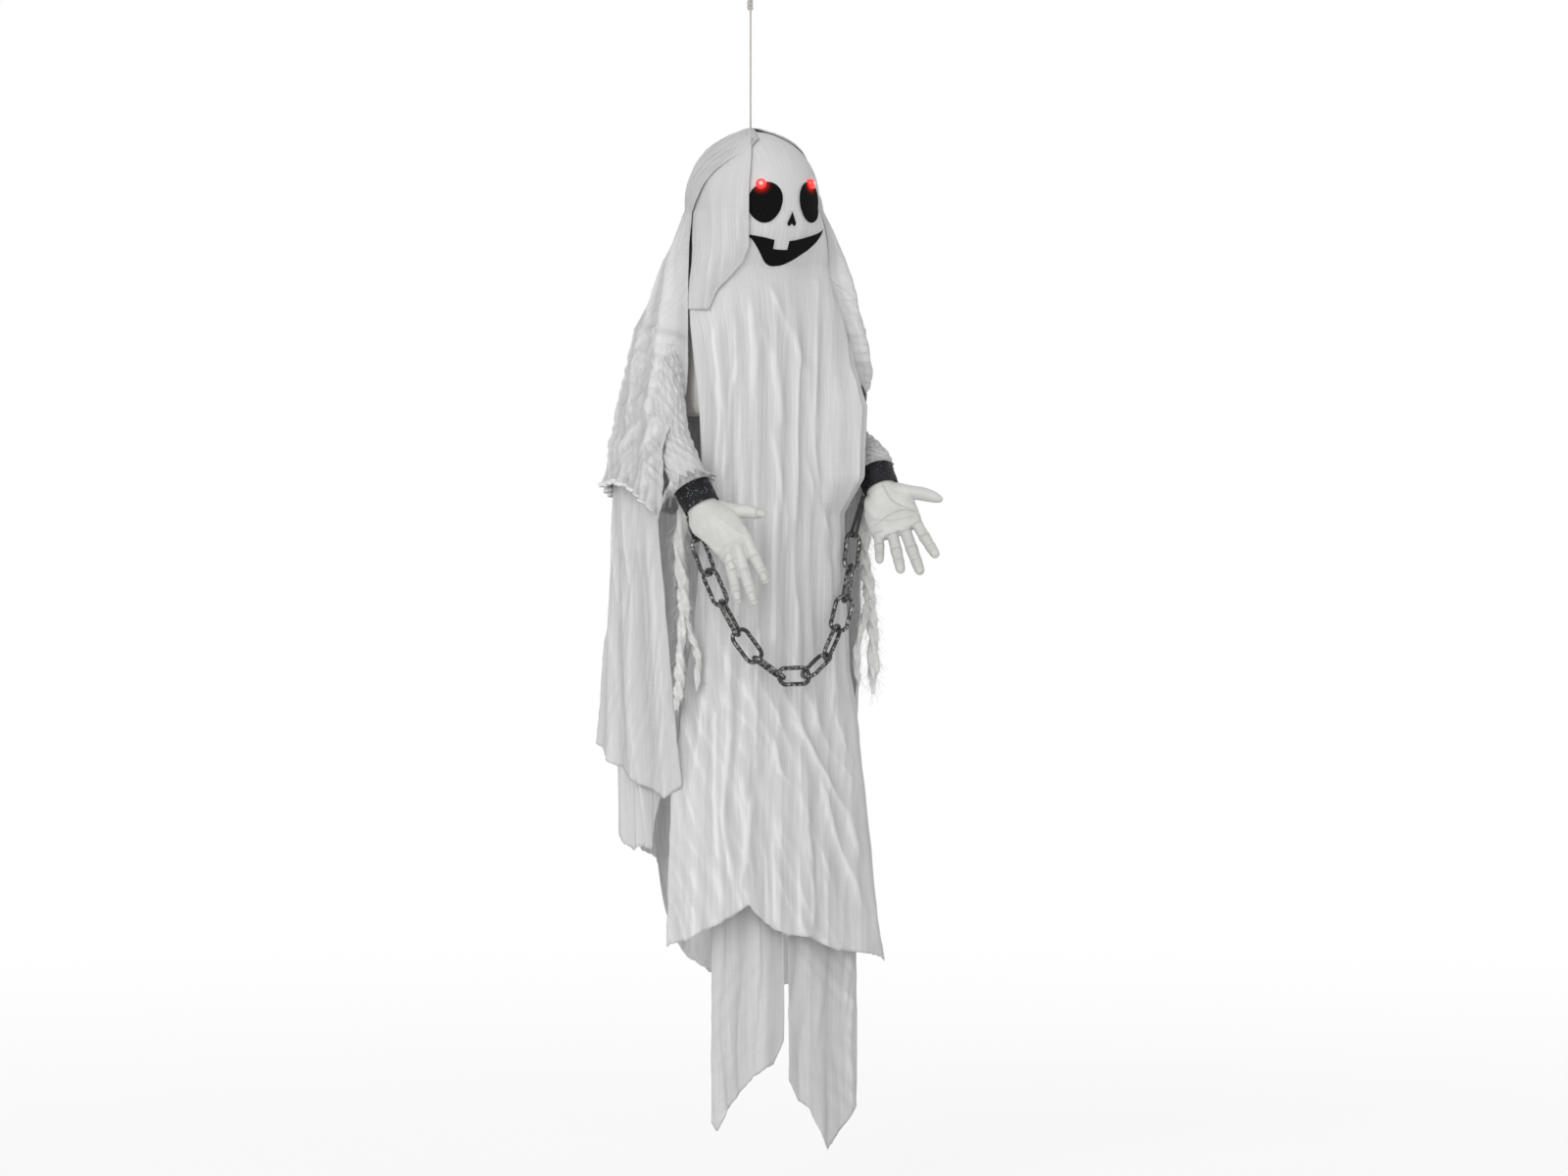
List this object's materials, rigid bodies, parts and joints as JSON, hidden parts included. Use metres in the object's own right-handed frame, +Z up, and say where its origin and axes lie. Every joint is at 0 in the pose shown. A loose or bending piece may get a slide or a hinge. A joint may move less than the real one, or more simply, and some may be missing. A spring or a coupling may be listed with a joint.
{
  "type": "hanging animated ghost figure",
  "caption": "Hanging cloth ghost: egg-shaped head with lamp eyes, geared arms that swing, hands in cuffs, a chain between the wrists and a layered torn gown",
  "frame": {"origin": "inner top of the cord's loop, where a hook carries the figure", "axes": "+Z up along the cord; the ghost faces -Y; its right hand is at -X"},
  "size_m": [0.4706, 0.3981, 1.7858],
  "materials": {
    "cord": "twisted white cord",
    "steel": "plain zinc-plated steel",
    "white_plastic": "moulded white plastic",
    "red_lens": "clear red lamp body",
    "black_felt": "matt black felt",
    "grey_plastic": "moulded grey plastic",
    "cell_jacket": "shrink sleeve on steel cans",
    "brass": "machined brass",
    "circuit_green": "lacquered board",
    "black_plastic": "moulded black plastic",
    "cuff_cloth": "black stretch cloth with fine glitter",
    "hand_vinyl": "soft pale vinyl",
    "chain_plastic": "plastic with a dark metallic coat, rubbed lighter on the edges",
    "white_cloth": "thin open-weave white gauze, torn edges"
  },
  "bodies": {
    "body": {"hang_loop": "cord", "hang_cord": "cord", "stopper_knot": "cord", "stopper_washer": "steel", "gear_motor": "steel", "speaker": "steel", "case_screw_1": "steel", "case_screw_2": "steel", "case_screw_3": "steel", "case_screw_4": "steel", "head_shell_front": "white_plastic", "head_shell_back": "white_plastic", "neck_tube": "white_plastic", "eye_led_right": "red_lens", "eye_led_left": "red_lens", "eye_patch_right": "black_felt", "eye_patch_left": "black_felt", "nose_patch": "black_felt", "mouth_patch": "black_felt", "housing_front": "grey_plastic", "housing_back": "grey_plastic", "battery_cells": "cell_jacket", "circuit_board": "circuit_green", "gown_front": "white_cloth", "gown_back": "white_cloth", "hood_cape": "white_cloth", "side_drape_right": "white_cloth", "side_drape_left": "white_cloth", "leg_tail_right": "white_cloth", "leg_tail_left": "white_cloth"},
    "arms": {"shoulder_shaft": "steel", "shoulder_gear": "white_plastic", "arm_right": "grey_plastic", "arm_left": "grey_plastic", "cuff_right": "cuff_cloth", "cuff_left": "cuff_cloth", "hand_right": "hand_vinyl", "hand_left": "hand_vinyl", "sleeve_right": "white_cloth", "sleeve_left": "white_cloth", "sleeve_strip_right": "white_cloth", "sleeve_strip_left": "white_cloth"},
    "pinion": {"motor_pinion": "brass"},
    "chain": {"chain_tab_right": "black_felt", "chain_tab_left": "black_felt", "chain_link_01": "chain_plastic", "chain_link_02": "chain_plastic", "chain_link_03": "chain_plastic", "chain_link_04": "chain_plastic", "chain_link_05": "chain_plastic", "chain_link_06": "chain_plastic", "chain_link_07": "chain_plastic", "chain_link_08": "chain_plastic", "chain_link_09": "chain_plastic", "chain_link_10": "chain_plastic", "chain_link_11": "chain_plastic"},
    "door": {"battery_door": "grey_plastic"},
    "switch": {"power_switch": "black_plastic"}
  },
  "joints": [
    {"name": "arm_swing", "type": "hinge", "parent": "body", "child": "arms", "pos_m": [0, 0, -0.551], "axis": [-1, 0, 0], "range_deg": [0, 20]},
    {"name": "pinion_spin", "type": "hinge", "parent": "body", "child": "pinion", "pos_m": [0.02, 0, -0.591], "axis": [-1, 0, 0], "range_deg": [-80, 0]},
    {"name": "chain_swing", "type": "hinge", "parent": "arms", "child": "chain", "pos_m": [-0.16542, -0.10267, -0.82364], "axis": [-0.994, -0.0658, -0.087], "range_deg": [0, 7]},
    {"name": "door_hinge", "type": "hinge", "parent": "body", "child": "door", "pos_m": [-0.03, 0.048, -0.656], "axis": [-1, 0, 0], "range_deg": [0, 55]},
    {"name": "switch_slide", "type": "slide", "parent": "body", "child": "switch", "axis": [0, 0, 1], "range_m": [0, 0.004]}
  ],
  "couplings": [
    {"joint": "pinion_spin", "follows": "arm_swing", "ratio": -4}
  ]
}
